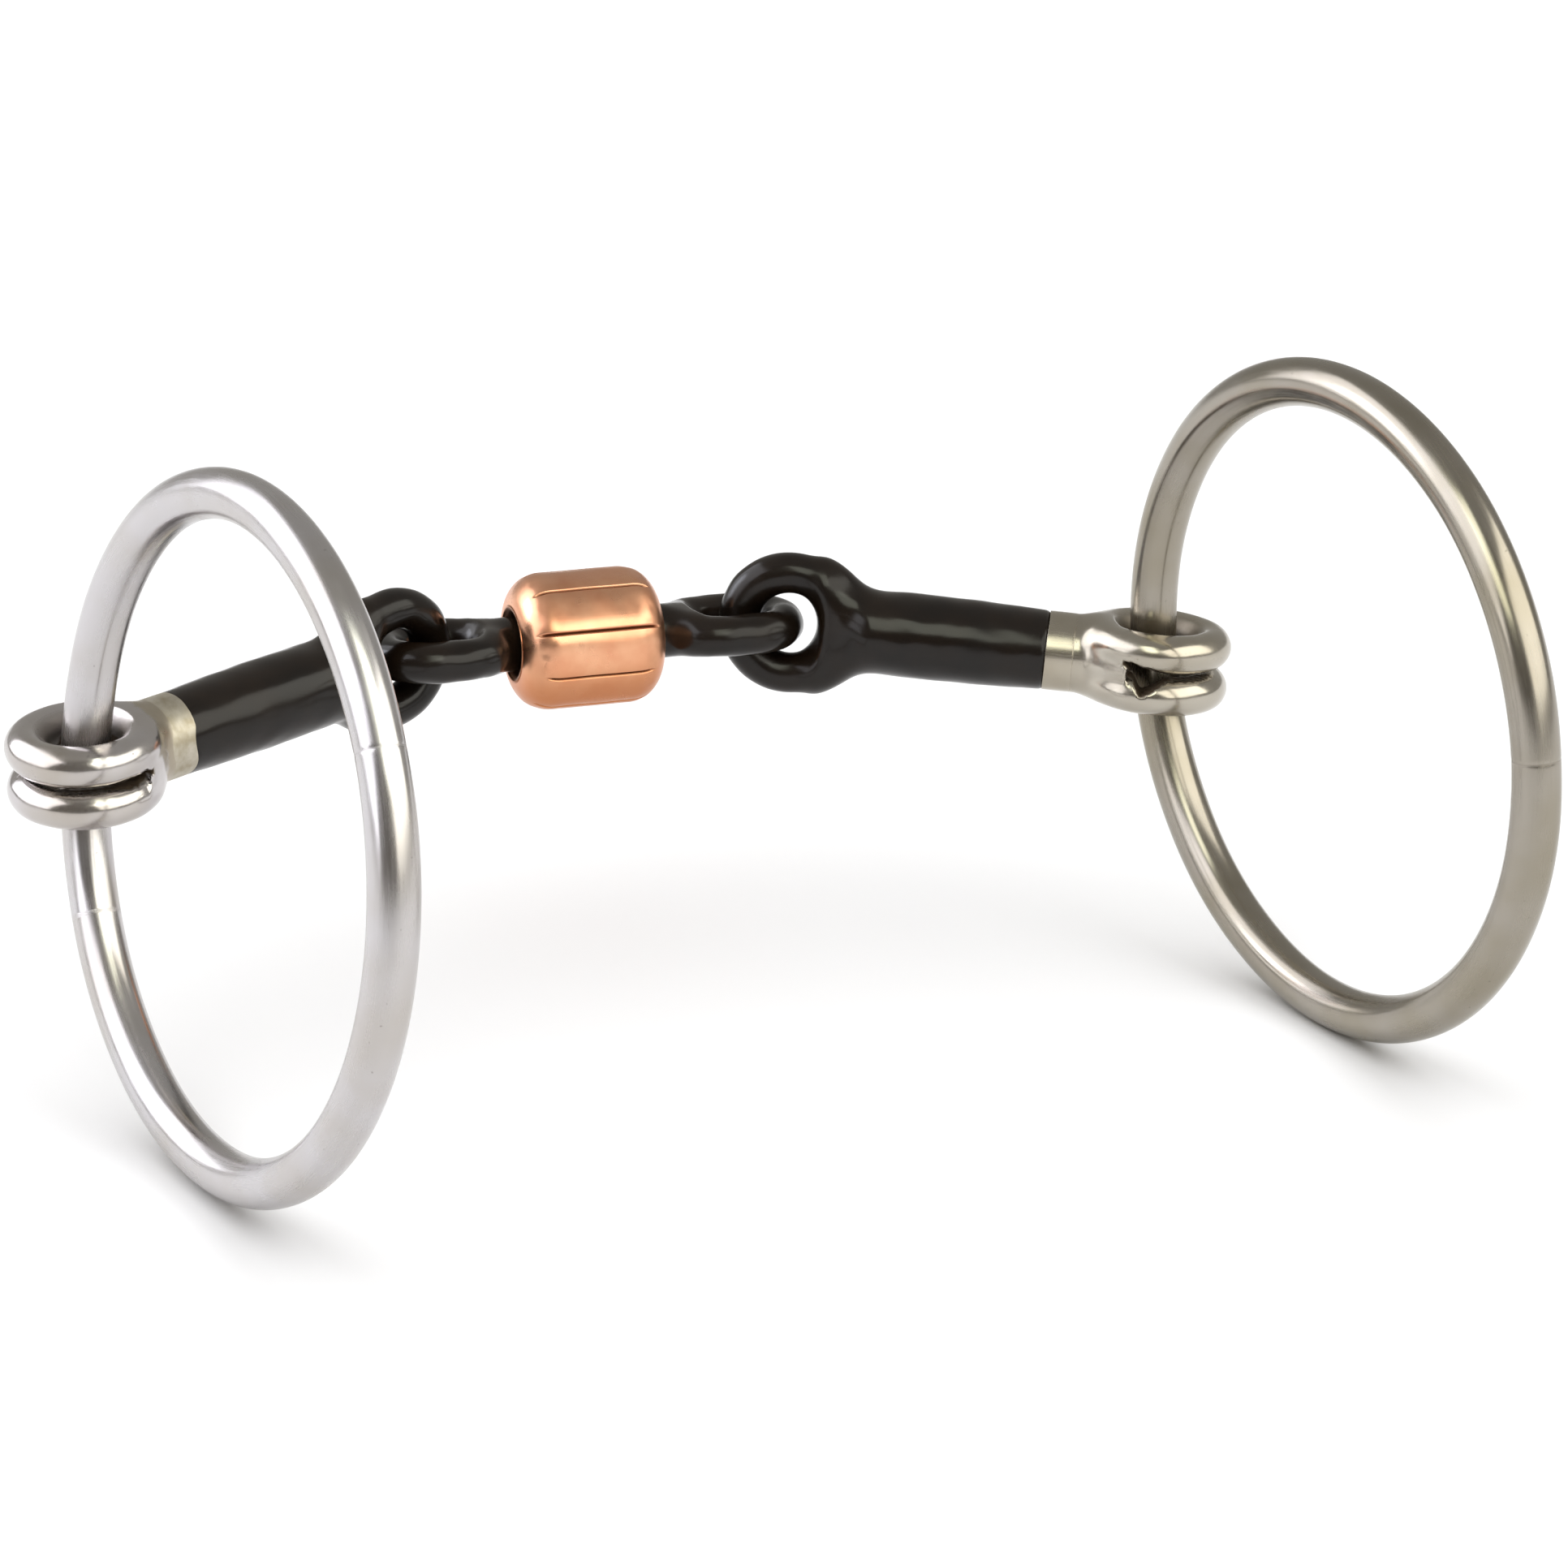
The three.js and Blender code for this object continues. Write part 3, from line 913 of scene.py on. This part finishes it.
def groove_profile(x, angle, outer, half):
    """Depth of the nearest groove and its dents, and how deep in a groove a point lies."""
    pitch = 2 * np.pi / GROOVES
    offset = (angle + pitch / 2) % pitch - pitch / 2
    which = np.round(angle / pitch) % GROOVES
    aside = offset * outer
    run = half - SHOULDER * 0.36 + 0.4 * np.sin(which * 2.1)
    window = ease((run - np.abs(x)) / 1.2)
    line = hump(aside, GROOVE_WIDTH / 2) * window
    dent = hump(aside, DENT_WIDTH / 2) * window * (0.75 + 0.25 * np.sin(x * 0.9 + which * 1.7))
    facet = np.cos(np.pi * offset / pitch) ** 2
    depth = GROOVE_DEPTH * line + DENT_DEPTH * dent - FACET_DEPTH * (facet - 1) * ease(run - np.abs(x))
    return depth, line


def roller_surface(bore, outer, half):
    """Outline points turned about X, the outer ones pushed in by the grooves."""
    outline = roller_outline(bore, outer, half)
    pitch = 2 * np.pi / GROOVES
    near = np.linspace(-1, 1, 15) * GROOVE_WIDTH * 1.4 / outer
    far = np.linspace(near[-1], pitch - near[-1], 12)[1:-1]
    turn = (np.concatenate([near, far]) + pitch * np.arange(GROOVES)[:, None]).ravel()
    index, angle = np.meshgrid(np.arange(len(outline)), turn, indexing="ij")
    x, r = outline[index, 0], outline[index, 1]
    depth, line = groove_profile(x, angle, outer, half)
    outside = ease((r - bore - 0.3 * (outer - bore)) / (0.5 * (outer - bore)))
    r = r - depth * outside
    points = np.stack([x, r * np.cos(angle), r * np.sin(angle)], axis=-1).reshape(-1, 3)
    # Painted shade on the wall of the bore, and in the grooves.
    inside_wall = ease((bore + 0.9 - r) / 0.8) * 0.8
    soot_and_shade = np.maximum(line * outside, inside_wall).reshape(-1)
    return points, wrapped_grid(*x.shape), soot_and_shade


# %% Build the roller
roller_low, roller_high = own_span("copper_roller", link_at, link_axes)
roller_solid = (solid_points("copper_roller") - link_at) @ link_axes.T
bore_radius = np.hypot(roller_solid[:, 1], roller_solid[:, 2]).min()
roller_middle = (roller_low[0] + roller_high[0]) / 2
roller_half = (roller_high[0] - roller_low[0]) / 2
roller_radius = (roller_high[2] - roller_low[2]) / 2
up = int(np.argmax(np.abs(link_axes[:, 2])))
points, faces, soot_and_shade = roller_surface(bore_radius, roller_radius, roller_half)
placed = link_at + (points + (roller_middle, 0, 0)) @ link_axes
# Painted shade: darker and redder towards the bottom.
underside_shade = ease(0.15 - 1.1 * points[:, up] / roller_radius)
name, body, node, slot = "copper_roller_grooved", "roller", "copper_roller", "copper"
make_piece(name, placed, faces, points, body, node, copper, soot_and_shade, underside_shade)

# %% [markdown]
# The floor, the lights and the camera
#
# The bit stands on its two rings on a plain white sheet. Polished metal shows nothing but what
# is around it, so two things are lit apart. One huge soft box overhead lights the paper evenly and
# is hidden from reflections. The others are there only to be reflected: a warm one in front on the
# right, a larger cool one on the left with its lamp in the middle, and a small white card close by
# that brightens the right cannon. The room is grey, and darker where the photographer stands,
# which draws the dark bands in the steel.

# %% Floor
floor_height = cad_box[0][2] / MM - 0.02
FLOOR_HALF = 3000
corners = np.array([[-1, -1, 0], [1, -1, 0], [1, 1, 0], [-1, 1, 0]]) * FLOOR_HALF
corners = corners + (0, 0, floor_height)
floor_mesh = bpy.data.meshes.new("paper_floor")
floor_mesh.from_pydata((corners * MM).tolist(), [], [[0, 1, 2, 3]])
floor = bpy.data.objects.new("paper_floor", floor_mesh)
bpy.context.scene.collection.objects.link(floor)
paper = bpy.data.materials.new("white_paper")
paper.use_nodes = True
paper_shader = paper.node_tree.nodes["Principled BSDF"]
paper_shader.inputs["Base Color"].default_value = linear("#F4F4F4")
paper_shader.inputs["Roughness"].default_value = 0.7
floor_mesh.materials.append(paper)
print("floor at", round(floor_height, 2), "mm")


# %% Lights
def soft_box(name, place, size, radiance, colour, reflected=True):
    """A rectangle of light, in millimetres, facing the bit; its power is radiance * pi * area."""
    light = bpy.data.lights.new(name, "AREA")
    light.shape = "RECTANGLE"
    light.size, light.size_y = size[0] * MM, size[1] * MM
    light.energy = radiance * np.pi * light.size * light.size_y
    light.color = linear(colour)[:3]
    lamp = bpy.data.objects.new(name, light)
    lamp.location = Vector(place) * MM
    lamp.rotation_euler = (Vector((0, -30, 0)) - Vector(place)).to_track_quat("-Z", "Y").to_euler()
    lamp.visible_camera = False
    lamp.visible_glossy = reflected
    lamp.visible_diffuse = not reflected
    bpy.context.scene.collection.objects.link(lamp)


def towards(azimuth, elevation, distance):
    """A place seen from the bit at an azimuth, 0 in front and 90 to the right, and an elevation."""
    a, e = np.radians(azimuth), np.radians(elevation)
    direction = np.array([np.cos(e) * np.sin(a), -np.cos(e) * np.cos(a), np.sin(e)])
    return (distance * direction + (0, -30, 0)).tolist()


soft_box("overhead_box", (0, -30, 1500), (3600, 3600), 1.5, "#FBFCFF", reflected=False)
soft_box("right_box", towards(40, 31, 700), (1080, 540), 2.4, "#FFFDF2")
soft_box("left_box", towards(-106, 32, 700), (1180, 690), 2.45, "#F7F8FF")
soft_box("left_lamp", towards(-120, 25, 690), (250, 250), 6, "#EEF2FF")
soft_box("near_card", (-22, -149, 135), (75, 110), 3.4, "#FBFFEC")

world = bpy.data.worlds.new("grey_room")
world.use_nodes = True
room = world.node_tree
looking = add(room, "ShaderNodeTexCoord").outputs["Generated"]
photographer = unit(np.array(towards(-28, 20, 1)) + (0, 30, 0)).tolist()
facing = add(room, "ShaderNodeVectorMath", {0: looking, 1: photographer}, operation="DOT_PRODUCT")
dark = between(room, facing.outputs["Value"], 0.68, 0.87, 0, 1)
room.nodes["Background"].inputs["Strength"].default_value = 1.0
walls = blend_colours(room, dark, "#ADABA6", "#7B7772")
room.links.new(walls, room.nodes["Background"].inputs["Color"])
bpy.context.scene.world = world

# %% Camera
AIM = np.array([8.36, -45.36, -2.25])
VIEW_AZIMUTH = 19.05
VIEW_ELEVATION = 21.5
VIEW_DISTANCE = 568.5
FOCAL_LENGTH = 121.12
turn, drop = np.radians(VIEW_AZIMUTH), np.radians(VIEW_ELEVATION)
looking = np.array([np.cos(drop) * np.sin(turn), np.cos(drop) * np.cos(turn), -np.sin(drop)])
camera_data = bpy.data.cameras.new("camera")
camera_data.lens = FOCAL_LENGTH
camera_data.sensor_width = 36
camera_data.clip_start = 0.01
camera = bpy.data.objects.new("camera", camera_data)
camera.location = Vector((AIM - VIEW_DISTANCE * looking) * MM)
camera.rotation_euler = Vector(looking).to_track_quat("-Z", "Y").to_euler()
bpy.context.scene.collection.objects.link(camera)
bpy.context.scene.camera = camera
bpy.context.scene.view_settings.view_transform = "Standard"
print("camera at", [round(v, 3) for v in camera.location])
